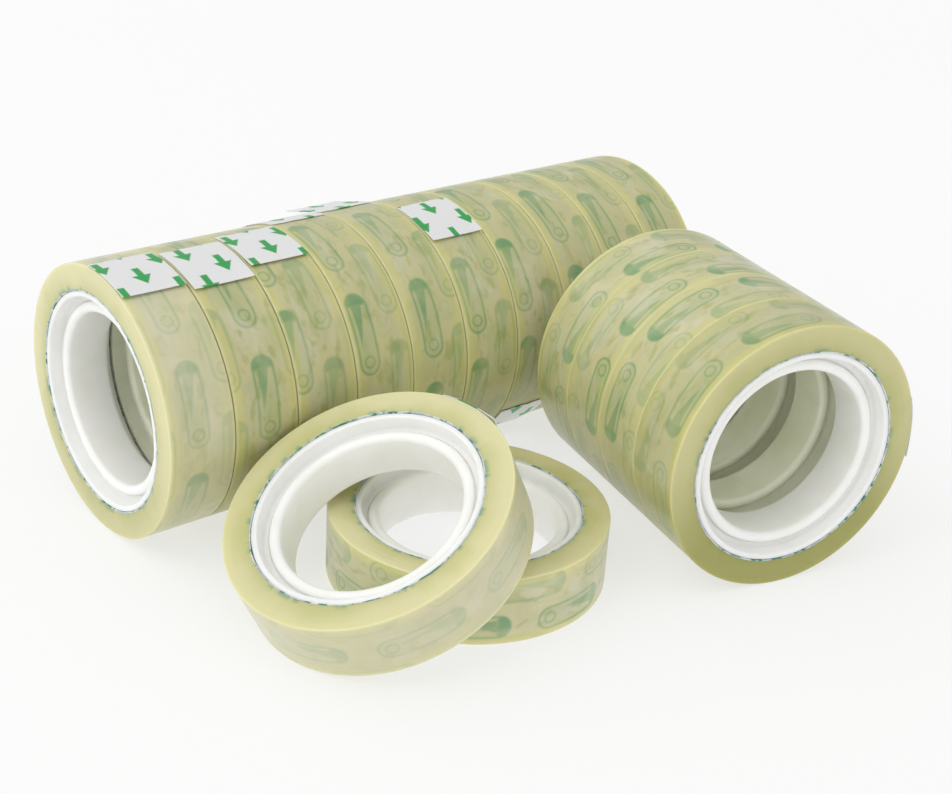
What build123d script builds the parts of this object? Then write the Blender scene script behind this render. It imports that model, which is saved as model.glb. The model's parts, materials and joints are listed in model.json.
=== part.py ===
# A set of small rolls of clear stationery tape: a row of ten and a row of four lying on their rims,
# one roll flat on the table and one roll leaning on it. Each roll is a moulded plastic core, a printed
# liner strip round it, the tape winding and a paper starter tab on the tape's end.
# Millimetres, +Z up, the table at Z = 0, the origin under the middle of the whole set.
from build123d import *
import os
from math import cos, degrees, hypot, radians, sin, sqrt

# Roll
tape_width = 10.3
roll_radius = 21.0
bore_radius = 13.2  # takes a 1-inch dispenser hub
liner_thickness = 0.15
rim_rounding = 0.12

# Moulded core: an outer sleeve and an inner ring joined by a web half way along
sleeve_wall = 0.9
ring_wall = 1.7
groove_width = 1.0  # between the ring and the sleeve
ring_setback = 1.5  # from the sleeve's edge to the ring's edge
web_thickness = 5.6
sleeve_edge_radius = 0.2
ring_edge_radius = 0.75

# Starter tab
tab_length = 10.5
tab_thickness = 0.2
tab_clearance = 0.15  # between the tab and the winding that it lies on
tab_side_margin = 0.1
tab_travel = 90.0  # degrees that a tab peels outwards

# Rows. A heading is the way a row's open face looks, in degrees from +X.
left_heading = 221.5
left_count = 10
left_spacing = 0.42  # gap between one roll and the next
right_heading = -63.6
right_count = 4
right_spacing = 0.1
right_along = 85.0  # where the right row's last face stands along the left row
row_clearance = 4.1  # between the right row's last roll and the left row

# The flat roll and the roll that leans on it
flat_to_left = 1.2
flat_to_right = 3.3
lean_heading = 226.0  # the way the leaning roll slopes down
lean_foot = 14.5  # from the flat roll's rim to where the leaning roll stands
lean_to_left = 1.27  # between the leaning roll and the left row
lean_contact = 0.14

lift = 50.0  # a roll taken out of the set is raised by this much

# Where each tab starts and which way it runs, as (degrees round the roll, run, bend radius). The angle is
# that of the end that is stuck down; run is 1 or -1 round the roll's axis. A tab with no bend radius
# follows the winding; one with a bend radius stands off it like a straightened strip.
left_tabs = [
    (95.0, -1, None),
    (91.5, -1, None),
    (97.0, -1, None),
    (98.0, 1, None),
    (104.0, 1, 90.0),
    (89.0, -1, None),
    (-33.0, -1, None),
    (152.0, 1, None),
    (171.0, 1, None),
    (140.0, 1, None),
]
right_tabs = [(20.0, -1, None), (38.0, -1, None), (8.0, -1, None), (29.0, -1, None)]
flat_tab = (62.0, 1, None)
lean_tab = (104.0, -1, None)

left_liners = 6  # liners of the left row that have a node; the others are closed in by their neighbours

core_radius = bore_radius + ring_wall + groove_width + sleeve_wall
winding_bore = core_radius + liner_thickness
half_chord = sqrt(roll_radius**2 - max(roll_radius - tape_width, 0.0) ** 2)


def direction(degrees_from_x):
    return Vector(cos(radians(degrees_from_x)), sin(radians(degrees_from_x)), 0)


def upright(face_centre, axis):
    """Where a roll on its rim stands: its Z runs out of the open face and its Y is up."""
    side = Vector(0, 0, 1).cross(axis)
    return Plane(origin=face_centre - axis * tape_width, x_dir=side, z_dir=axis)


def row(name, count, spacing, first_face, axis, tabs):
    """The rolls of one row, front to back, as (name, plane, tab)."""
    pitch = tape_width + spacing
    return [
        (f"{name}_{i + 1:02d}", upright(first_face - axis * (pitch * i), axis), tabs[i])
        for i in range(count)
    ]


def section_gap(point, foot, axis):
    """The distance from a point to a roll whose lower face has its centre at foot. Negative inside it."""
    from_foot = point - foot
    height = from_foot.dot(axis)
    radius = (from_foot - axis * height).length
    gaps = []
    for inner, low in ((core_radius - sleeve_wall, 0.0), (bore_radius, ring_setback)):
        outside_r = max(inner - radius, radius - roll_radius)
        outside_h = max(low - height, height - (tape_width - low))
        beyond = hypot(max(outside_r, 0), max(outside_h, 0))
        gaps.append(beyond if beyond > 0 else max(outside_r, outside_h))
    return min(gaps)


def edge_points(foot, plane, count=360):
    """Points round the edges of one roll's sleeve, ring and rim."""
    sizes = [(roll_radius, 0.0), (core_radius - sleeve_wall, 0.0), (bore_radius, ring_setback)]
    for radius, low in sizes:
        for height in (low, tape_width - low):
            for i in range(count):
                turn = 360 * i / count
                in_face = plane.x_dir * cos(radians(turn)) + plane.y_dir * sin(radians(turn))
                yield foot + in_face * radius + plane.z_dir * height


def aside_to_clear(foot, plane, aside, across):
    """How far sideways the leaning roll stands to keep its gap to the left row."""
    reach = roll_radius + lean_to_left
    needed = []
    for i in range(72):
        in_face = plane.x_dir * cos(radians(5 * i)) + plane.y_dir * sin(radians(5 * i))
        for height in (0, tape_width):
            point = foot + in_face * roll_radius + plane.z_dir * height
            above_axis = point.Z - roll_radius
            needed.append(sqrt(max(reach**2 - above_axis**2, 0)) - point.dot(across))
    return max(needed) / aside.dot(across)


def leaning_plane(tilt, flat_centre):
    """The leaning roll's place at a tilt, standing on its lower rim at the named distances."""
    away = direction(lean_heading)
    aside = direction(lean_heading + 90)
    axis = away * sin(radians(tilt)) + Vector(0, 0, cos(radians(tilt)))
    uphill = axis.cross(Vector(0, 0, 1).cross(axis)).normalized()
    foot = flat_centre + away * (roll_radius + lean_foot) + uphill * roll_radius
    across = direction(left_heading + 90)
    level = Plane(origin=foot, x_dir=uphill.cross(axis), z_dir=axis)
    foot += aside * aside_to_clear(foot, level, aside, across)
    return Plane(origin=foot, x_dir=uphill.cross(axis), z_dir=axis)


def rest_tilt(flat_centre):
    """The smallest tilt at which the leaning roll clears the flat one by the contact gap."""
    flat = Plane(origin=flat_centre)
    low, high = 5.0, 80.0
    for _ in range(18):
        tilt = (low + high) / 2
        leaning = leaning_plane(tilt, flat_centre)
        gap = min(
            min(section_gap(p, leaning.origin, leaning.z_dir) for p in edge_points(flat_centre, flat)),
            min(section_gap(p, flat_centre, flat.z_dir) for p in edge_points(leaning.origin, leaning)),
        )
        low, high = (low, tilt) if gap > lean_contact else (tilt, high)
    return high


def place_rolls():
    """Every roll as (name, plane, tab), in the left row's own place, before the set is centred."""
    left_axis = direction(left_heading)
    along = left_axis * -1
    across = direction(left_heading + 90)  # from the left row towards the other rolls
    left_front = Vector(0, 0, roll_radius)

    right_axis = direction(right_heading)
    skew = abs(right_axis.dot(left_axis))
    right_length = right_count * tape_width + (right_count - 1) * right_spacing
    right_back = (
        left_front
        + along * right_along
        + across * (roll_radius * (1 + skew) + row_clearance)
    )
    right_front = right_back + right_axis * right_length

    # The flat roll lies in the corner between the rows, at its two distances from them.
    from_left = roll_radius + half_chord + flat_to_left
    from_right = roll_radius + half_chord + flat_to_right
    towards_flat = direction(right_heading - 90)
    right_foot = (right_back - left_front).dot(across)
    reach = (right_back - left_front).dot(along)
    along_part, across_part = towards_flat.dot(along), towards_flat.dot(across)
    axis_along, axis_across = right_axis.dot(along), right_axis.dot(across)
    down_row = (from_left - right_foot - across_part * from_right) / axis_across
    flat_along = reach + along_part * from_right + axis_along * down_row
    flat_centre = along * flat_along + across * from_left

    lean_plane = leaning_plane(rest_tilt(flat_centre), flat_centre)
    rolls = row("left_roll", left_count, left_spacing, left_front, left_axis, left_tabs)
    rolls += row("right_roll", right_count, right_spacing, right_front, right_axis, right_tabs)
    rolls.append(("leaning_roll", lean_plane, lean_tab))
    rolls.append(("flat_roll", Plane(origin=flat_centre), flat_tab))
    return rolls


def turned(profile):
    """A ring from half of its section, drawn with X as the radius and Z along the axis."""
    return revolve(profile, Axis.Z)


def make_core():
    sleeve_inside = core_radius - sleeve_wall
    ring_outside = bore_radius + ring_wall
    ring_length = tape_width - 2 * ring_setback
    middle = tape_width / 2
    with BuildSketch(Plane.XZ) as section:
        with Locations(((sleeve_inside + core_radius) / 2, middle)):
            Rectangle(sleeve_wall, tape_width)
        fillet(section.vertices(), sleeve_edge_radius)
        with BuildSketch(mode=Mode.PRIVATE) as ring:
            with Locations(((bore_radius + ring_outside) / 2, middle)):
                Rectangle(ring_wall, ring_length)
            fillet(ring.vertices(), ring_edge_radius)
        add(ring.sketch)
        with Locations(((bore_radius + core_radius) / 2, middle)):
            Rectangle(core_radius - bore_radius - ring_wall, web_thickness)
    return turned(section.sketch)


def make_tube(inner, outer, rounding=0.0):
    with BuildSketch(Plane.XZ) as section:
        with Locations(((inner + outer) / 2, tape_width / 2)):
            Rectangle(outer - inner, tape_width)
        if rounding:
            fillet(section.vertices(), rounding)
    return turned(section.sketch)


def make_tab(start, run, bend_radius):
    """A strip tangent to the winding where it is stuck down, that bends round with its own radius."""
    lie = roll_radius + tab_clearance
    bend = bend_radius or lie
    sweep = degrees(tab_length / bend)
    with BuildSketch() as side:
        with BuildLine():
            inner = CenterArc((lie - bend, 0), bend, 0, run * sweep)
            outer = CenterArc((lie - bend, 0), bend + tab_thickness, 0, run * sweep)
            Line(inner @ 0, outer @ 0)
            Line(inner @ 1, outer @ 1)
        make_face()
    strip = extrude(side.sketch, tape_width - 2 * tab_side_margin)
    return Rot(0, 0, start) * (Pos(0, 0, tab_side_margin) * strip)


def tab_hinge(plane, tab):
    """The line that a tab peels about: its point and its direction."""
    start, run, _ = tab
    out = plane.x_dir * cos(radians(start)) + plane.y_dir * sin(radians(start))
    return plane.origin + out * (roll_radius + tab_clearance), plane.z_dir * -run


core = make_core()
winding = make_tube(winding_bore, roll_radius, rim_rounding)
liner = make_tube(core_radius, winding_bore)


def extent(rolls):
    """The middle of the set's outline, seen from above."""
    outside = [winding.moved(plane.location) for _, plane, _ in rolls]
    outside += [make_tab(*tab).moved(plane.location) for _, plane, tab in rolls]
    centre = Compound(outside).bounding_box().center()
    return Vector(centre.X, centre.Y, 0)


placed = place_rolls()
middle_of_set = extent(placed)
rolls = [
    (name, Plane(origin=plane.origin - middle_of_set, x_dir=plane.x_dir, z_dir=plane.z_dir), tab)
    for name, plane, tab in placed
]
lined = [name for name, _, _ in rolls[:left_liners] + rolls[left_count:]]

parts = {}
for name, plane, tab in rolls:
    parts[f"{name}_core"] = core.moved(plane.location)
    parts[f"{name}_winding"] = winding.moved(plane.location)
    if name in lined:
        parts[f"{name}_liner"] = liner.moved(plane.location)
    parts[f"{name}_tab"] = make_tab(*tab).moved(plane.location)

os.makedirs("parts", exist_ok=True)
for name, part in parts.items():
    export_step(part, f"parts/{name}.step")
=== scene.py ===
import json
import math

import bmesh
import bpy
import numpy as np
from mathutils import Matrix, Vector, noise

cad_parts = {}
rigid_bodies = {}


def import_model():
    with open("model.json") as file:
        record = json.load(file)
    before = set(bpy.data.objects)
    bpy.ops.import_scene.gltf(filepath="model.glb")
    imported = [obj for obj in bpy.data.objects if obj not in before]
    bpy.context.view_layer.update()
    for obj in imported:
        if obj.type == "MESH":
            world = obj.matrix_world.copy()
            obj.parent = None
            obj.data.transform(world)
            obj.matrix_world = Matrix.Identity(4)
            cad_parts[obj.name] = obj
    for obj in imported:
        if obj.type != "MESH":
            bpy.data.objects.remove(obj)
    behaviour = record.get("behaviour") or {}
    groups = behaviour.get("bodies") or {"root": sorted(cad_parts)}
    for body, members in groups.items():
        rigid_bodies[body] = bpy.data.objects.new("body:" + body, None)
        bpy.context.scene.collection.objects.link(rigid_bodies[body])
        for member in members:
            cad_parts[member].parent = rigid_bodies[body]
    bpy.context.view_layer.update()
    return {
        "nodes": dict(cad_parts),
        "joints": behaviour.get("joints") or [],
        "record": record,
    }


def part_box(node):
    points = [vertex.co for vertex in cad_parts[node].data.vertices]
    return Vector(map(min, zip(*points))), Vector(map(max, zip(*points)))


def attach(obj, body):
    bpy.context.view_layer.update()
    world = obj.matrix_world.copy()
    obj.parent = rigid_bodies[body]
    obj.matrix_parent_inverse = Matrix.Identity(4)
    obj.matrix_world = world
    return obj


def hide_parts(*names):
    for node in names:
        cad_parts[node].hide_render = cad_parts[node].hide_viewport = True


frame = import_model()
mm = 0.001
near = 0.02 * mm  # how close an edge has to be to the place it is looked for


# what the frame gives: sizes, and where each roll and tab is

def boxSize(node):
    low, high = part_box(node)
    return high - low


mounts = {m["name"]: m for m in frame["record"]["mounts"]}
rollRadius = boxSize("flat_roll_winding").x / 2
tapeWidth = boxSize("flat_roll_winding").z
coreRadius = boxSize("flat_roll_core").x / 2
linerRadius = boxSize("flat_roll_liner").x / 2
boreRadius = mounts["flat_roll_bore"]["dims"]["r_mm"] * mm
tabWidth = boxSize("flat_roll_tab").z


def readRolls():
    # each roll's middle, its axis out of the open face, and the line its tab peels about
    rowAxis = {"left": mounts["left_row_bore"]["axis"], "right": mounts["right_row_bore"]["axis"]}
    found = {}
    for joint in frame["joints"]:
        if joint["type"] == "hinge":
            name = joint["parent"]
            low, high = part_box(name + "_core")
            middle = (low + high) / 2
            outward = Vector(rowAxis.get(name.split("_")[0], (0, 0, 1)))
            hingeAxis = Vector(joint["axis"]).normalized()
            run = -1 if hingeAxis.dot(outward) > 0 else 1
            axis = hingeAxis * -run
            arm = Vector(joint["pos_m"]) - middle
            arm -= axis * arm.dot(axis)
            level = Vector((0, 0, 1)).cross(axis)
            side = level.normalized() if level.length > 0.1 else Vector((1, 0, 0))
            found[name] = {"middle": middle, "axis": axis, "side": side, "hinge": arm.normalized(),
                           "run": run, "tabBody": joint["child"]}
    return found


rolls = readRolls()
print("read", len(rolls), "rolls from the frame")


# modelling helpers

def deselectAll():
    if bpy.context.mode != "OBJECT":
        bpy.ops.object.mode_set(mode="OBJECT")
    bpy.ops.object.select_all(action="DESELECT")


def editMode(kind="FACE"):
    bpy.ops.object.mode_set(mode="EDIT")
    bpy.ops.mesh.select_mode(type=kind)
    bpy.ops.mesh.select_all(action="DESELECT")


def choose(kind, test):
    # selects faces or edges of the piece in edit mode by their place
    mesh = bmesh.from_edit_mesh(bpy.context.object.data)
    for item in getattr(mesh, kind):
        item.select_set(bool(test(item)))
    bmesh.update_edit_mesh(bpy.context.object.data)


def objectMode():
    bpy.ops.object.mode_set(mode="OBJECT")


def isEndFace(face):
    return len(face.verts) > 4


def isRingEdge(edge, radius, height):
    # an edge that runs round the axis at this radius, and at plus or minus this height
    a, b = edge.verts
    if abs(a.co.z - b.co.z) > 1e-6:
        return False
    atRadius = all(abs(math.hypot(v.co.x, v.co.y) - radius) < near for v in edge.verts)
    return atRadius and abs(abs(a.co.z) - height) < near


def smooth(piece, degrees=35):
    deselectAll()
    piece.select_set(True)
    bpy.context.view_layer.objects.active = piece
    bpy.ops.object.shade_smooth_by_angle(angle=math.radians(degrees))


def copyOf(master, name):
    # a copy with its own mesh; it is moved in its mesh, so that the object stays at the origin
    copied = master.copy()
    copied.data = master.data.copy()
    copied.name = name
    bpy.context.scene.collection.objects.link(copied)
    return copied


def rollPlace(roll, towards):
    # local Z runs out of the open face and local X points towards the given direction
    z = roll["axis"]
    x = towards.normalized()
    y = z.cross(x)
    turn = Matrix((x, y, z)).transposed().to_4x4()
    return Matrix.Translation(roll["middle"]) @ turn


# core: one moulding, a sleeve and an inner ring joined by a web

coreShape = {
    "sides": 160,
    "sleeveWall": 0.9 * mm,
    "ringWall": 1.7 * mm,
    "ringSetback": 1.5 * mm,
    "webThickness": 5.6 * mm,
    "sleeveRound": 0.25 * mm,
    "ringRound": 0.78 * mm,
    "grooveRound": 0.42 * mm,
    "turnEach": 1.7,  # radians that each roll's core is turned past the one before
}


def makeCore():
    s = coreShape
    grooveWidth = coreRadius - s["sleeveWall"] - boreRadius - s["ringWall"]
    sleeveInside = coreRadius - s["sleeveWall"]
    ringOutside = boreRadius + s["ringWall"]
    halfWidth, halfWeb = tapeWidth / 2, s["webThickness"] / 2
    halfRing = halfWidth - s["ringSetback"]
    deselectAll()
    bpy.ops.mesh.primitive_cylinder_add(vertices=s["sides"], radius=coreRadius, depth=tapeWidth)
    core = bpy.context.object
    editMode()
    choose("faces", isEndFace)
    bpy.ops.mesh.inset(thickness=s["sleeveWall"])
    bpy.ops.mesh.extrude_region_shrink_fatten(
        TRANSFORM_OT_shrink_fatten={"value": halfWeb - halfWidth})
    bpy.ops.mesh.inset(thickness=grooveWidth)
    bpy.ops.mesh.extrude_region_shrink_fatten(
        TRANSFORM_OT_shrink_fatten={"value": halfRing - halfWeb})
    bpy.ops.mesh.inset(thickness=s["ringWall"])
    bpy.ops.mesh.delete(type="FACE")
    bpy.ops.mesh.select_mode(type="EDGE")
    choose("edges", lambda e: e.is_boundary)
    bpy.ops.mesh.bridge_edge_loops()
    for radii, height, size, segments in (
            ((coreRadius, sleeveInside), halfWidth, s["sleeveRound"], 3),
            ((boreRadius, ringOutside), halfRing, s["ringRound"], 6),
            ((sleeveInside, ringOutside), halfWeb, s["grooveRound"], 3)):
        choose("edges", lambda e: any(isRingEdge(e, radius, height) for radius in radii))
        bpy.ops.mesh.bevel(offset=size, segments=segments)
    bpy.ops.mesh.select_all(action="SELECT")
    bpy.ops.mesh.normals_make_consistent(inside=False)
    objectMode()
    smooth(core)
    return core


# winding: a ring of wound film with slightly uneven sides

windingShape = {
    "sides": 176,
    "sideRings": 16,  # ridges on each side, from the liner to the rim
    "outerBands": 9,
    "rimRound": 0.14 * mm,
    "ridge": 0.035 * mm,  # scales how far the turns stand out on the sides, up to about 0.05 mm
    "ridgeStep": 0.3 * mm,  # from one ridge to the next
    "ridgeBias": 0.6,  # taken off the noise, so most turns stand out by about the same
    "waviness": 0.03 * mm,  # how far the outside is from round
    "waveStep": 6 * mm,
    "waveBias": 0.8,  # the waves lie inside the full radius
    "swell": {"left": 0.13 * mm},  # how far the sides stand out from the flat
    "swellElsewhere": 0.02 * mm,
    "swellRise": 6,  # the swell is full from one sixth of the way out
    "swellFall": 0.35,  # the part of it that is gone at the rim
    "sideBand": 0.1 * mm,  # what counts as on a side, from the side inwards
    "swellBand": 0.2 * mm,
    "outerBand": 0.5 * mm,
}


def makeWinding():
    s = windingShape
    build = rollRadius - linerRadius
    deselectAll()
    bpy.ops.mesh.primitive_cylinder_add(vertices=s["sides"], radius=rollRadius, depth=tapeWidth)
    winding = bpy.context.object
    editMode()
    choose("faces", isEndFace)
    for _ in range(s["sideRings"]):
        bpy.ops.mesh.inset(thickness=build / s["sideRings"])
    bpy.ops.mesh.delete(type="FACE")
    bpy.ops.mesh.select_mode(type="EDGE")
    choose("edges", lambda e: e.is_boundary)
    bpy.ops.mesh.bridge_edge_loops()
    choose("edges", lambda e: abs(e.verts[0].co.z - e.verts[1].co.z) > tapeWidth / 2
           and math.hypot(e.verts[0].co.x, e.verts[0].co.y) > rollRadius - build / 2)
    bpy.ops.mesh.subdivide(number_cuts=s["outerBands"])
    choose("edges", lambda e: isRingEdge(e, rollRadius, tapeWidth / 2))
    bpy.ops.mesh.bevel(offset=s["rimRound"], segments=3)
    bpy.ops.mesh.select_all(action="SELECT")
    bpy.ops.mesh.normals_make_consistent(inside=False)
    objectMode()
    return winding


def roughenWinding(winding, name, seed):
    # the turns of film never line up exactly, so each ridge stands out a little more or less
    s = windingShape
    swell = s["swell"].get(name.split("_")[0], s["swellElsewhere"])
    for v in winding.data.vertices:
        r = math.hypot(v.co.x, v.co.y)
        onSide = abs(v.co.z) > tapeWidth / 2 - s["sideBand"] and r > linerRadius + s["sideBand"] / 2
        towards = Vector((v.co.x / r, v.co.y / r, 0))
        if abs(v.co.z) > tapeWidth / 2 - s["swellBand"]:
            way = (r - linerRadius) / (rollRadius - linerRadius)  # from the liner, 0, to the rim, 1
            rise = min(1, s["swellRise"] * way) * (1 - s["swellFall"] * way**4)
            v.co.z += math.copysign(swell * rise, v.co.z)
        if onSide:
            at = Vector((towards.x * 0.8, towards.y * 0.8, r / s["ridgeStep"] + seed * 7.0))
            standOut = s["ridge"] * (noise.noise(at) - s["ridgeBias"])
            v.co.z += math.copysign(standOut, v.co.z)  # outwards, whatever the sign of the noise
        if r > rollRadius - s["outerBand"]:
            at = Vector((towards.x * 2.2, towards.y * 2.2, seed * 3.1 + v.co.z / s["waveStep"]))
            v.co += towards * (s["waviness"] * (noise.noise(at) - s["waveBias"]))


def setUv(piece, name, values):
    layer = piece.data.uv_layers.get(name) or piece.data.uv_layers.new(name=name)
    layer.data.foreach_set("uv", np.asarray(values, np.float32).ravel())


def cylinderCoordinates(piece, seam):
    # for each face corner: turns round the axis, which start again at the seam, height and radius
    mesh = piece.data
    places = np.empty(len(mesh.vertices) * 3, np.float32)
    mesh.vertices.foreach_get("co", places)
    places = places.reshape(-1, 3).astype(float)
    corners = np.empty(len(mesh.loops), np.int32)
    mesh.loops.foreach_get("vertex_index", corners)
    starts = np.empty(len(mesh.polygons), np.int32)
    totals = np.empty(len(mesh.polygons), np.int32)
    mesh.polygons.foreach_get("loop_start", starts)
    mesh.polygons.foreach_get("loop_total", totals)
    faceOf = np.repeat(np.arange(len(starts)), totals)
    at = places[corners]
    sumX = np.bincount(faceOf, at[:, 0])
    sumY = np.bincount(faceOf, at[:, 1])
    faceTurn = (np.arctan2(sumY, sumX) / math.tau - seam) % 1.0
    turn = np.arctan2(at[:, 1], at[:, 0]) / math.tau - seam
    turn += np.round(faceTurn[faceOf] - turn)
    return turn + seam, at[:, 2], np.hypot(at[:, 0], at[:, 1])


printRepeat = {"along": 17.0 * mm, "across": 5.6 * mm, "markLength": 13.2 * mm}


def mapWinding(winding, seam, phase, seed, tone):
    # phase is where one mark is: the angle of its solid end, and its distance from the open face in mm
    turn, height, radius = cylinderCoordinates(winding, seam)
    markMiddle = math.radians(phase[0]) * rollRadius - printRepeat["markLength"] / 2
    along = (turn * math.tau * rollRadius - markMiddle) / printRepeat["along"] + 0.5
    across = (tapeWidth / 2 - height - phase[1] * mm) / printRepeat["across"] + 0.5
    depth = (radius - linerRadius) / (rollRadius - linerRadius)
    setUv(winding, "wrap", np.stack([turn, height / tapeWidth + 0.5], 1))
    setUv(winding, "print", np.stack([along, across], 1))
    setUv(winding, "depth", np.stack([depth, np.full_like(depth, seed)], 1))
    # the amounts of painted shade for this roll: low down, and all over
    setUv(winding, "tone", np.tile(tone, (len(depth), 1)))


# liner: the strip under the first turn, with torn edges

linerShape = {
    "sides": 240,
    "cutsAcross": 5,
    "thickness": 0.15 * mm,
    "offCore": 0.02 * mm,
    "ragged": 0.16 * mm,  # how far its edges run in and out
    "stickOut": 0.05 * mm,
    "lean": 0.12 * mm,  # how far a torn edge leans outwards
    "coarse": 3.0,  # how close the long and the short waves of the edge are
    "fine": 14.0,
}


def makeLiner():
    s = linerShape
    deselectAll()
    bpy.ops.mesh.primitive_cylinder_add(
        vertices=s["sides"], radius=coreRadius + s["offCore"], depth=tapeWidth,
        end_fill_type="NOTHING")
    liner = bpy.context.object
    editMode("EDGE")
    choose("edges", lambda e: abs(e.verts[0].co.z - e.verts[1].co.z) > tapeWidth / 2)
    bpy.ops.mesh.subdivide(number_cuts=s["cutsAcross"])
    objectMode()
    return liner


def tearLiner(liner, seed):
    # its edges run in and out, and lean outwards where they were torn
    s = linerShape
    for v in liner.data.vertices:
        if abs(v.co.z) > tapeWidth / 2 - near / 2:
            r = math.hypot(v.co.x, v.co.y)
            towards = Vector((v.co.x / r, v.co.y / r, 0))
            side = math.copysign(1, v.co.z)
            coarse = noise.noise(towards * s["coarse"] + Vector((0, 0, seed * 5.3 + side * 2)))
            fine = noise.noise(towards * s["fine"] + Vector((0, 0, seed * 2.9 + side)))
            v.co.z += side * (s["stickOut"] + s["ragged"] * (coarse + 0.5 * fine) * 0.5)
            v.co += towards * (s["lean"] * max(0, fine + coarse))
    deselectAll()
    liner.select_set(True)
    bpy.context.view_layer.objects.active = liner
    wall = liner.modifiers.new("wall", "SOLIDIFY")
    wall.thickness = s["thickness"]
    wall.offset = 1
    bpy.ops.object.modifier_apply(modifier=wall.name)


# starter tab: paper with arrows, stuck on the end of the tape

tabShape = {
    "length": 10.5 * mm,
    "lie": 0.05 * mm,  # above the winding
    "paper": 0.11 * mm,
    "step": 0.35 * mm,
    "cutsAcross": 13,
    "curl": 0.25 * mm,  # how far the free end lifts
    "cornerCurl": 0.1 * mm,
    "wave": 0.05 * mm,
    "tear": 0.5 * mm,  # how uneven the stuck end is
    "hingeRoom": 0.1 * mm,  # from the hinge line to the stuck end, so a peeled tab clears the tape
    "straightBend": {"left_roll_05": 90 * mm},
    "arrowRepeat": (8.0, 4.4),  # mm along and across
    "arrowMiddle": 6.6,  # mm from the stuck end to the middle of an arrow
    "arrowShift": {"left_roll_01": (0, 0), "left_roll_02": (-0.4, 2.1), "left_roll_03": (0.3, 0.3),
                   "left_roll_06": (4.0, -0.2)},
}


def makeTab(name, run):
    # a strip of a tube that is tangent to the winding where it is stuck down
    s = tabShape
    lie = rollRadius + s["lie"]
    bend = s["straightBend"].get(name, lie)
    sides = round(math.tau * bend / s["step"])
    sweep = s["length"] / bend
    deselectAll()
    bpy.ops.mesh.primitive_cylinder_add(
        vertices=sides, radius=bend, depth=tabWidth, end_fill_type="NOTHING",
        rotation=(0, 0, math.pi / 2))
    bpy.ops.object.transform_apply(rotation=True)
    tab = bpy.context.object

    def turnOf(place):
        return run * math.atan2(place.y, place.x)

    editMode()
    choose("faces", lambda f: not 0 < turnOf(f.calc_center_median()) < sweep)
    bpy.ops.mesh.delete(type="FACE")
    bpy.ops.mesh.select_mode(type="EDGE")
    choose("edges", lambda e: abs(e.verts[0].co.z - e.verts[1].co.z) > tabWidth / 2)
    bpy.ops.mesh.subdivide(number_cuts=s["cutsAcross"])
    objectMode()
    return tab, turnOf, bend, lie


def shapeTab(name, run, seed):
    s = tabShape
    tab, turnOf, bend, lie = makeTab(name, run)
    flat = {}
    for v in tab.data.vertices:
        t = min(1, turnOf(v.co) * bend / s["length"])
        across = v.co.z / tabWidth
        flat[v.index] = (t, across)
        wave = s["wave"] * noise.noise(Vector((t * 3, across * 2, seed * 4.7)))
        corner = (2 * abs(across)) ** 6 * t**4 * s["cornerCurl"]
        out = Vector((v.co.x, v.co.y, 0)).normalized()
        ragged = abs(noise.noise(Vector((across * 5, seed * 2.1, 0))))
        tear = (s["hingeRoom"] + s["tear"] * ragged) * (1 - t) ** 6
        v.co += out * (s["curl"] * t**5 + corner + wave * t)
        v.co += Vector((-out.y, out.x, 0)) * run * tear
        v.co.x += lie - bend
    repeat = s["arrowRepeat"]
    anyShift = (seed * 3.1 % repeat[0], seed * 1.7 % repeat[1])
    shift = s["arrowShift"].get(name, anyShift)
    corners = np.empty(len(tab.data.loops), np.int32)
    tab.data.loops.foreach_get("vertex_index", corners)
    uv = []
    for c in corners:
        t, across = flat[c]
        along = (1 - t if run > 0 else t) * s["length"] / mm  # the arrows point the same way on every roll
        uv.append(((along - s["arrowMiddle"] - shift[0]) / repeat[0] + 0.5,
                   (-across * tabWidth / mm - shift[1]) / repeat[1] + 0.5))
    setUv(tab, "arrows", uv)
    middle = tab.data.polygons[len(tab.data.polygons) // 2]
    if middle.normal.dot(Vector((middle.center.x, middle.center.y, 0))) < 0:
        tab.data.flip_normals()
    wall = tab.modifiers.new("paper", "SOLIDIFY")
    wall.thickness = s["paper"]
    wall.offset = 1
    bpy.ops.object.modifier_apply(modifier=wall.name)
    return tab


# materials

def paint(r, g, b):
    # a screen colour from 0 to 255 as the linear colour that shaders take
    def line(c):
        c /= 255
        return c / 12.92 if c <= 0.04045 else ((c + 0.055) / 1.055) ** 2.4

    return (line(r), line(g), line(b), 1.0)


class Wire:
    # one output socket, with Python's operators making Math nodes
    def __init__(self, shade, socket):
        self.shade = shade
        self.socket = socket

    def math(self, operation, *values):
        return self.shade.node("ShaderNodeMath", {"operation": operation}, *values)

    def __add__(self, other):
        return self.math("ADD", self, other)

    def __sub__(self, other):
        return self.math("SUBTRACT", self, other)

    def __rsub__(self, other):
        return self.math("SUBTRACT", other, self)

    def __mul__(self, other):
        return self.math("MULTIPLY", self, other)

    def __truediv__(self, other):
        return self.math("DIVIDE", self, other)

    def __mod__(self, other):
        return self.math("FLOORED_MODULO", self, other)

    def __abs__(self):
        return self.math("ABSOLUTE", self)

    __radd__ = __add__
    __rmul__ = __mul__

    def floor(self):
        return self.math("FLOOR", self)

    def atLeast(self, other):
        return self.math("MAXIMUM", self, other)

    def atMost(self, other):
        return self.math("MINIMUM", self, other)

    def ramp(self, start, end, low=0.0, high=1.0):
        # a soft step from low to high as the value goes from start to end
        settings = {"interpolation_type": "SMOOTHSTEP"}
        return self.shade.node("ShaderNodeMapRange", settings, self, start, end, low, high)


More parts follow.
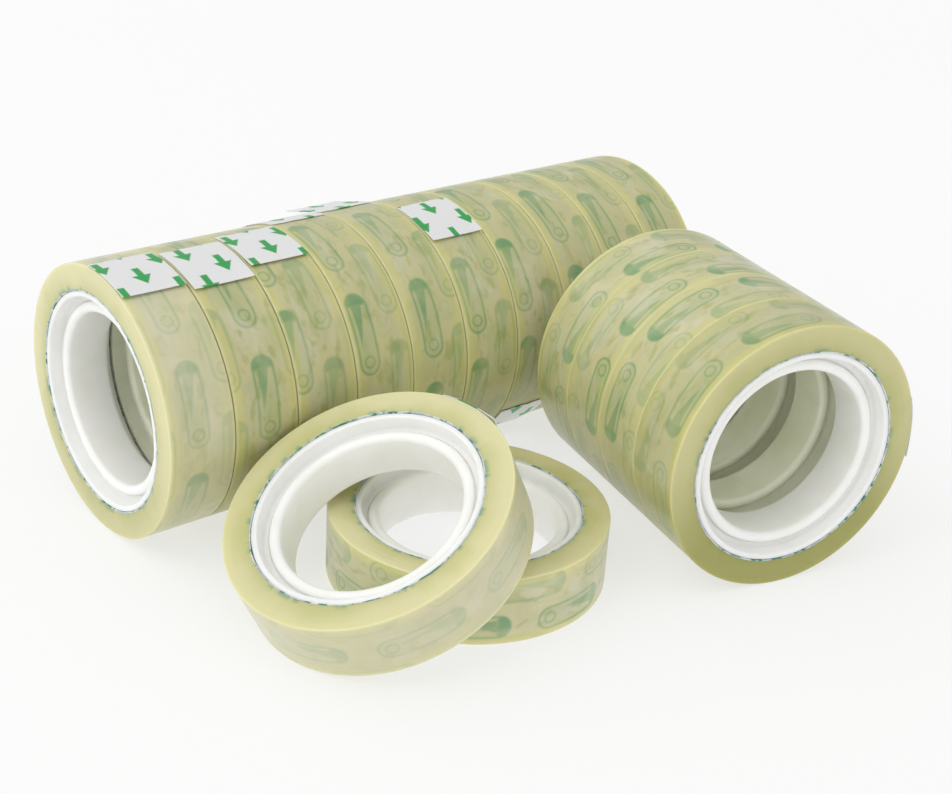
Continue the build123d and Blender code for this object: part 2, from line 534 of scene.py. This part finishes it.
class Shade:
    # one material and its nodes
    def __init__(self, name):
        self.material = bpy.data.materials.new(name)
        self.material.use_nodes = True
        self.tree = self.material.node_tree
        self.tree.nodes.clear()

    def node(self, kind, settings, *values, out=0, **named):
        made = self.tree.nodes.new(kind)
        for key, value in settings.items():
            setattr(made, key, value)
        for index, value in list(enumerate(values)) + list(named.items()):
            socket = made.inputs[index.replace("_", " ") if isinstance(index, str) else index]
            if isinstance(value, Wire):
                self.tree.links.new(value.socket, socket)
            elif value is not None:
                socket.default_value = value
        return Wire(self, made.outputs[out])

    def mix(self, factor, a, b, blend="MIX"):
        made = self.tree.nodes.new("ShaderNodeMix")
        made.data_type = "RGBA"
        made.blend_type = blend
        for socket, value in zip((made.inputs[0], made.inputs[6], made.inputs[7]), (factor, a, b)):
            if isinstance(value, Wire):
                self.tree.links.new(value.socket, socket)
            else:
                socket.default_value = value
        return Wire(self, made.outputs[2])

    def uv(self, name):
        place = self.node("ShaderNodeUVMap", {"uv_map": name})
        x = self.node("ShaderNodeSeparateXYZ", {}, place)
        y = Wire(self, x.socket.node.outputs[1])
        return place, x, y

    def point(self, x, y, z=0.0):
        return self.node("ShaderNodeCombineXYZ", {}, x, y, z)

    def noise(self, place, scale, detail=2.0, roughness=0.5, distortion=0.0):
        return self.node("ShaderNodeTexNoise", {}, Vector=place, Scale=scale, Detail=detail,
                         Roughness=roughness, Distortion=distortion)

    def finish(self, **surface):
        shader = self.node("ShaderNodeBsdfPrincipled", {}, **surface)
        output = self.tree.nodes.new("ShaderNodeOutputMaterial")
        self.tree.links.new(shader.socket, output.inputs["Surface"])
        return self.material


def length2d(x, y):
    return (x * x + y * y).math("SQRT", x * x + y * y)


tapeLook = {
    "edge": paint(217, 210, 146),
    "middle": paint(206, 201, 157),
    "milky": paint(214, 210, 180),
    "olive": paint(172, 174, 108),
    # the dark olive of the painted shade low down on a roll and over whole rolls
    "shaded": paint(150, 150, 70),
    "side": paint(217, 212, 163),
    "sideDeep": paint(199, 198, 136),
    # the pale cream of the painted highlight along the rims, also the colour of the fine rings on the
    # sides
    "rim": paint(232, 227, 178),
    "print": paint(56, 146, 98),
    "printStrength": 0.85,
    "ghostStrength": 0.18,
    "linerTint": paint(96, 160, 132),
    "edgeBand": 2.2,  # mm from the rim to where the greyer middle begins
    "inkBlur": 0.26,  # mm
    "ghostBlur": 0.9,
    "ghostStretch": 0.985,  # the print of the turns below lies a little off the top one
    "ghostShift": (0.31, 0.37),
    "faintColumn": 0.45,
    "ringsAcross": 45.0,  # how many turns show as rings on the side
    "outsideFrom": (0.975, 0.995),  # where the side gives way to the outside, with the rim at 1
    "cloudsRound": 2.4,  # how closely the clouds lie round the roll and across it
    "cloudsAcross": 2.2,
    "cloudScale": 1.1,
    "streakScale": 3.1,
    "edgeWobble": 1.8,  # mm
    "oliveStrength": 0.6,
    "rimHighlightStrength": 0.55,
    "ringStrength": 0.22,
    "blotStrength": 0.7,
    # how strong the painted shade low down on a roll is, and the most painted shade any part gets
    "lowShadeStrength": 0.8,
    "paintedShadeMost": 0.9,
    "lowShadeFrom": (0.3, -1.0),  # sine of the angle at which the painted shade on the lower side starts, and is full
}


# the printed mark, in mm from its middle; y runs along the tape
markShape = {
    "halfLength": 4.6, "radius": 1.95,  # of the round-ended outline
    "lineInside": 0.28, "lineHalf": 0.2,
    "capFrom": 4.3,
    "bladeTilt": 0.13, "bladeAbout": 5, "bladeTaper": 0.15, "bladePoint": 2.2,
    "ringAt": 4.4, "ringRadius": 0.85, "ringHalf": 0.2,
    "insideBy": 0.1,
    "lineInk": 0.85, "fillInk": 0.22, "bladeInk": 0.8, "ringInk": 0.8,
}


def capsule(x, y, halfLength, radius):
    # distance in mm from a round-ended bar along y
    return length2d(x, (abs(y) - halfLength).atLeast(0.0)) - radius


def printMask(shade, along, across, blur):
    # a plain round-ended frame with one solid end that tapers to a point and a ring at the other end,
    # repeated along the tape in columns that are half a step apart
    column = across.floor()
    stagger = (column % 2.0) * 0.5
    x = ((across - column) - 0.5) * (printRepeat["across"] / mm)
    y = ((along + stagger) % 1.0 - 0.5) * (printRepeat["along"] / mm)
    m = markShape
    outside = capsule(x, y, m["halfLength"], m["radius"])
    frameLine = (abs(outside + m["lineInside"]) - m["lineHalf"]).ramp(blur, -blur) * m["lineInk"]
    tint = outside.ramp(blur, -blur) * m["fillInk"]
    inside = (outside + m["insideBy"]).ramp(blur, -blur)
    cap = (m["capFrom"] - y).ramp(blur * 2, -blur * 2)
    bladeMiddle = (y - m["bladeAbout"]) * m["bladeTilt"]
    bladeHalf = (y + m["bladePoint"]) * m["bladeTaper"]
    blade = (abs(x - bladeMiddle) - bladeHalf).ramp(blur, -blur) * m["bladeInk"]
    fromRing = abs(length2d(x, y + m["ringAt"]) - m["ringRadius"])
    ring = (fromRing - m["ringHalf"]).ramp(blur, -blur) * m["ringInk"]
    return (blade.atLeast(cap) * inside).atLeast(frameLine).atLeast(ring).atLeast(tint).atMost(1.0)


def makeTape():
    t = tapeLook
    shade = Shade("wound tape")
    _, turn, height = shade.uv("wrap")
    _, along, across = shade.uv("print")
    _, depth, seed = shade.uv("depth")
    _, lowShade, allShade = shade.uv("tone")
    outside = depth.ramp(*t["outsideFrom"])
    fromEdge = (0.5 - abs(height - 0.5)) * (tapeWidth / mm)
    # clouds are drawn out along the tape; the turn goes in as a point on a circle, so they close up
    angle = turn * math.tau
    # painted shade on the lower side of each roll, by the sine of its angle round the axis
    low = angle.math("SINE", angle).ramp(*t["lowShadeFrom"]) * lowShade
    circle = shade.point(angle.math("COSINE", angle) * t["cloudsRound"],
                         angle.math("SINE", angle) * t["cloudsRound"],
                         height * t["cloudsAcross"] + seed * 11.0)
    clouds = shade.noise(circle, t["cloudScale"], 2.0, 0.5, 0.4)
    streaks = shade.noise(circle, t["streakScale"], 2.0, 0.5, 0.3)
    wobble = (streaks - 0.5) * t["edgeWobble"]
    middle = shade.mix(clouds.ramp(0.45, 0.7), t["middle"], t["milky"])
    middle = shade.mix(streaks.ramp(0.5, 0.3) * t["oliveStrength"], middle, t["olive"])
    band = (fromEdge + wobble).ramp(0.5, t["edgeBand"])
    wall = shade.mix(band, t["edge"], middle)
    alongBelow = along * t["ghostStretch"] + t["ghostShift"][0]
    ghost = printMask(shade, alongBelow, across + t["ghostShift"][1], t["ghostBlur"])
    wall = shade.mix(ghost * t["ghostStrength"], wall, t["print"])
    ink = printMask(shade, along, across, t["inkBlur"])
    fainter = (across.floor() % 2.0) * t["faintColumn"]
    fade = clouds.ramp(0.3, 0.7, 1.0, 0.55) * (1 - fainter)
    wall = shade.mix(ink * fade * t["printStrength"], wall, t["print"])
    # painted highlight: a pale line along each rim of the outside
    wall = shade.mix(fromEdge.ramp(0.5, 0.05) * t["rimHighlightStrength"], wall, t["rim"])
    # the sides show the turns as fine rings, and the liner's print shows through beside the core
    rings = shade.node("ShaderNodeTexNoise", {"noise_dimensions": "1D"},
                       W=depth * t["ringsAcross"] + seed * 9.0, Scale=1.0, Detail=2.0)
    sideTone = shade.mix((depth + (clouds - 0.5) * 1.4).ramp(0.0, 0.8), t["sideDeep"], t["side"])
    sideTone = shade.mix(rings.ramp(0.4, 0.75) * t["ringStrength"], sideTone, t["rim"])
    blots = streaks.ramp(0.53, 0.62) * depth.ramp(0.24, 0.0)
    sideTone = shade.mix(blots * t["blotStrength"], sideTone, t["linerTint"])
    # painted highlight: the side pales close to the rim
    sideTone = shade.mix(depth.ramp(0.9, 0.99) * 0.5, sideTone, t["rim"])
    # where a roll's shade amount is below 0, its outside is mixed towards the milky colour, lighter all
    # over
    wall = shade.mix((0 - allShade).atLeast(0.0), wall, t["milky"])
    colour = shade.mix(outside, sideTone, wall)
    # painted shade: mixed towards dark olive low down on each roll, and over whole rolls by their shade
    # amount
    paintedShadeAmount = (low * t["lowShadeStrength"] + allShade.atLeast(0.0)).atMost(t["paintedShadeMost"])
    colour = shade.mix(paintedShadeAmount, colour, t["shaded"])
    bumpHeight = rings * (1 - outside) + streaks * outside * 0.3
    normal = shade.node("ShaderNodeBump", {}, Strength=0.2, Distance=0.04 * mm, Height=bumpHeight)
    return shade.finish(
        Base_Color=colour, Roughness=streaks.ramp(0.2, 0.8, 0.3, 0.42), Normal=normal,
        Subsurface_Weight=0.5, Subsurface_Radius=(1.0, 0.94, 0.5), Subsurface_Scale=2.6 * mm,
        Coat_Weight=0.3, Coat_Roughness=0.15, IOR=1.48)


# painted light and shade: the cores deep in a row are a darker, yellower white, for the shade there and
# the light that reaches them through the tape round them
coreLook = {
    "white moulded plastic": (paint(250, 250, 246), paint(244, 244, 239)),
    "tape-toned moulded plastic": (paint(240, 241, 220), paint(230, 233, 208)),
}


def makeCorePlastic(name):
    shade = Shade(name)
    white, grey = coreLook[name]
    place = shade.node("ShaderNodeTexCoord", {}, out="Object")
    flow = shade.noise(place, 160.0, 3.0, 0.5, 0.4)
    grain = shade.noise(place, 2600.0, 2.0)
    colour = shade.mix(flow.ramp(0.35, 0.7), white, grey)
    normal = shade.node("ShaderNodeBump", {}, Strength=0.12, Distance=0.03 * mm,
                        Height=flow + grain * 0.2)
    return shade.finish(
        Base_Color=colour, Roughness=flow.ramp(0.3, 0.7, 0.28, 0.4), Normal=normal,
        Subsurface_Weight=0.5, Subsurface_Radius=(1.0, 0.97, 0.9), Subsurface_Scale=2.0 * mm,
        Coat_Weight=0.2, Coat_Roughness=0.15)


linerLook = {"film": paint(222, 228, 226), "blue": paint(178, 194, 206), "teal": paint(70, 138, 118)}


def makeLinerFilm():
    shade = Shade("printed liner film")
    place = shade.node("ShaderNodeTexCoord", {}, out="Object")
    patches = shade.noise(place, 420.0, 2.0, 0.6, 0.5)
    marks = shade.noise(place, 620.0, 3.0, 0.6)
    colour = shade.mix(patches.ramp(0.4, 0.6), linerLook["film"], linerLook["blue"])
    colour = shade.mix(marks.ramp(0.52, 0.6), colour, linerLook["teal"])
    return shade.finish(
        Base_Color=colour, Roughness=marks.ramp(0.3, 0.7, 0.35, 0.55),
        Subsurface_Weight=0.2, Subsurface_Radius=(1.0, 1.0, 1.0), Subsurface_Scale=0.6 * mm)


tabLook = {
    "paper": paint(234, 234, 234), "ink": paint(14, 158, 70), "fibre": paint(224, 225, 225),
    "inkBlur": 0.14,  # mm
}
# one arrow, in mm from its middle; y runs along the tape
arrowShape = {"shaftHalf": 0.55, "shaftMiddle": -0.9, "shaftReach": 1.2, "headTip": 2.1, "headSlope": 0.7,
              "headBack": -0.05}


def arrowMask(along, across, blur):
    # arrows in columns half a step apart, pointing along the tape
    repeat = tabShape["arrowRepeat"]
    column = across.floor()
    x = abs(across - column - 0.5) * repeat[1]
    y = ((along + (column % 2.0) * 0.5) % 1.0 - 0.5) * repeat[0]
    a = arrowShape
    shaft = (x - a["shaftHalf"]).atLeast(abs(y - a["shaftMiddle"]) - a["shaftReach"])
    head = (x - (a["headTip"] - y) * a["headSlope"]).atLeast(a["headBack"] - y)
    return shaft.atMost(head).ramp(blur, -blur)


def makeTabPaper():
    shade = Shade("tab paper")
    place, along, across = shade.uv("arrows")
    fibres = shade.noise(place, 26.0, 4.0, 0.65)
    base = shade.mix(fibres.ramp(0.35, 0.7), tabLook["paper"], tabLook["fibre"])
    rough = (fibres - 0.5) * 0.16
    ink = arrowMask(along + rough * 0.15, across + rough * 0.3, tabLook["inkBlur"])
    colour = shade.mix(ink * fibres.ramp(0.2, 0.5, 0.8, 1.0), base, tabLook["ink"])
    normal = shade.node("ShaderNodeBump", {}, Strength=0.2, Distance=0.03 * mm, Height=fibres)
    return shade.finish(
        Base_Color=colour, Roughness=ink.ramp(0.0, 1.0, 0.55, 0.4), Normal=normal,
        Subsurface_Weight=0.15, Subsurface_Radius=(1.0, 1.0, 1.0), Subsurface_Scale=0.5 * mm,
        Coat_Weight=0.1, Coat_Roughness=0.35)


tapeMaterial = makeTape()
plasticMaterials = [makeCorePlastic(name) for name in coreLook]
linerMaterial = makeLinerFilm()
paperMaterial = makeTabPaper()
print("materials made")


# every roll from the masters

# where a printed mark is on each roll: the angle of its solid end, in degrees, and how far it is from
# the open face, in mm
printPlace = {
    "left_roll_01": (25, 4.5), "left_roll_02": (20, 5.5), "left_roll_03": (35, 1),
    "left_roll_04": (35, 2.5), "left_roll_05": (35, 4), "left_roll_06": (40, 2.5),
    "left_roll_07": (55, 2), "left_roll_08": (70, 3.5), "left_roll_09": (70, 3),
    "left_roll_10": (50, 4), "right_roll_01": (165, 3), "right_roll_02": (140, 7),
    "right_roll_03": (145, 2.5), "right_roll_04": (170, 2), "leaning_roll": (-20, 5.5),
    "flat_roll": (-35, 7.5),
}
# how much painted shade the tape gets low down on a roll, and all over it; where the second is below 0,
# the outside is mixed towards the milky colour instead, lighter all over
tapePaintedShade = {
    "left": (1.0, 0.2), "right": (1.0, 0.12), "leaning": (0.1, -0.6), "flat": (0.0, -0.1),
    "left_roll_01": (0.4, -0.45), "right_roll_01": (0.9, 0.3),
}
rowEnds = ("left_roll_01", "left_roll_10", "right_roll_01", "right_roll_04")


def finishPiece(piece, body, material, nodes):
    piece.data.materials.clear()
    piece.data.materials.append(material)
    smooth(piece)
    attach(piece, body)
    if nodes:
        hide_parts(*nodes)


def buildRolls():
    coreMaster, windingMaster, linerMaster = makeCore(), makeWinding(), makeLiner()
    halfTab = tabShape["length"] / rollRadius / 2
    for number, (name, roll) in enumerate(rolls.items()):
        seed = number + 1
        hingePlace = rollPlace(roll, roll["hinge"])
        tabMiddle = Matrix.Rotation(roll["run"] * halfTab, 4, roll["axis"]) @ roll["hinge"]
        place = rollPlace(roll, roll["side"])
        upward = roll["axis"].cross(roll["side"])
        seam = math.atan2(tabMiddle.dot(upward), tabMiddle.dot(roll["side"])) / math.tau
        tone = tapePaintedShade.get(name, tapePaintedShade[name.split("_")[0]])
        # rolls deep in a row get the core plastic with painted shade and tape-yellow light
        deepInRow = name[-2:].isdigit() and name not in rowEnds

        core = copyOf(coreMaster, name + ".core")
        core.data.transform(Matrix.Rotation(seed * coreShape["turnEach"], 4, "Z"))
        core.data.transform(place)
        finishPiece(core, name, plasticMaterials[deepInRow], [name + "_core"])

        winding = copyOf(windingMaster, name + ".tape")
        roughenWinding(winding, name, seed)
        mapWinding(winding, seam, printPlace[name], seed * 0.37, tone)
        winding.data.transform(place)
        finishPiece(winding, name, tapeMaterial, [name + "_winding"])

        liner = copyOf(linerMaster, name + ".liner")
        tearLiner(liner, seed)
        liner.data.transform(place)
        linerNodes = [node for node in [name + "_liner"] if node in frame["nodes"]]
        finishPiece(liner, name, linerMaterial, linerNodes)

        tab = shapeTab(name, roll["run"], seed)
        tab.name = name + ".tab"
        tab.data.transform(hingePlace)
        finishPiece(tab, roll["tabBody"], paperMaterial, [name + "_tab"])
    for master in (coreMaster, windingMaster, linerMaster):
        bpy.data.objects.remove(master)


buildRolls()
print("rolls built")


# floor, light and camera

stage = {
    "floor": paint(150, 150, 150),
    "floorGlow": 0.65,  # the floor is a pale panel, partly lit from below
    "floorSize": 6.0,
    "domeLow": 0.52, "domeHigh": 1.12, "domeFrom": (-0.62, -0.42, 0.66), "domeStart": -0.4,
    "keyPower": 0.75, "keySize": 0.45, "keyFrom": (-0.42, -0.3, 0.6),
    "fillPower": 0.2, "fillSize": 0.5, "fillFrom": (0.5, -0.45, 0.3),
    "lightAim": (0, 0, 0.015),
}


def makeFloor():
    deselectAll()
    bpy.ops.mesh.primitive_plane_add(size=stage["floorSize"])
    floor = bpy.context.object
    floor.name = "floor"
    shade = Shade("pale floor")
    floor.data.materials.append(shade.finish(
        Base_Color=stage["floor"], Roughness=0.8, Emission_Color=(1, 1, 1, 1),
        Emission_Strength=stage["floorGlow"]))


def makeLight(name, power, size, at):
    light = bpy.data.objects.new(name, bpy.data.lights.new(name, "AREA"))
    light.data.energy = power
    light.data.shape = "DISK"
    light.data.size = size
    light.location = at
    towards = Vector(stage["lightAim"]) - Vector(at)
    light.rotation_euler = towards.to_track_quat("-Z", "Y").to_euler()
    bpy.context.scene.collection.objects.link(light)


def makeWorld():
    # a soft dome, brighter on the side that the window would be
    world = bpy.data.worlds.new("studio")
    bpy.context.scene.world = world
    world.use_nodes = True
    tree = world.node_tree
    sky = tree.nodes.new("ShaderNodeTexCoord")
    facing = tree.nodes.new("ShaderNodeVectorMath")
    facing.operation = "DOT_PRODUCT"
    facing.inputs[1].default_value = Vector(stage["domeFrom"]).normalized()
    level = tree.nodes.new("ShaderNodeMapRange")
    level.inputs["From Min"].default_value = stage["domeStart"]
    level.inputs["To Min"].default_value = stage["domeLow"]
    level.inputs["To Max"].default_value = stage["domeHigh"]
    tree.links.new(sky.outputs["Generated"], facing.inputs[0])
    tree.links.new(facing.outputs["Value"], level.inputs["Value"])
    tree.links.new(level.outputs["Result"], tree.nodes["Background"].inputs["Strength"])
    tree.nodes["Background"].inputs["Color"].default_value = (1, 1, 1, 1)


cameraView = {
    "target": Vector((1.3, 27.9, 0)) * mm,
    "distance": 286.7 * mm,
    "elevation": math.radians(25.79),
    "roll": math.radians(3.69),
    "lens": 59.4,
    "sensor": 36,
    "shift": (0.0035, 0.0087),
    "nearest": 0.01,
}


def makeCamera():
    c = cameraView
    camera = bpy.data.objects.new("camera", bpy.data.cameras.new("camera"))
    camera.data.lens = c["lens"]
    camera.data.sensor_width = c["sensor"]
    camera.data.shift_x, camera.data.shift_y = c["shift"]
    camera.data.clip_start = c["nearest"]
    look = Vector((0, math.cos(c["elevation"]), -math.sin(c["elevation"])))
    level = Vector((1, 0, 0))
    up = level.cross(look)
    right = level * math.cos(c["roll"]) + up * math.sin(c["roll"])
    top = up * math.cos(c["roll"]) - level * math.sin(c["roll"])
    turn = Matrix((right, top, -look)).transposed().to_4x4()
    camera.matrix_world = Matrix.Translation(c["target"] - look * c["distance"]) @ turn
    bpy.context.scene.collection.objects.link(camera)
    bpy.context.scene.camera = camera


makeFloor()
makeWorld()
makeLight("key", stage["keyPower"], stage["keySize"], stage["keyFrom"])
makeLight("fill", stage["fillPower"], stage["fillSize"], stage["fillFrom"])
makeCamera()
bpy.context.scene.view_settings.view_transform = "Standard"
print("stage set")
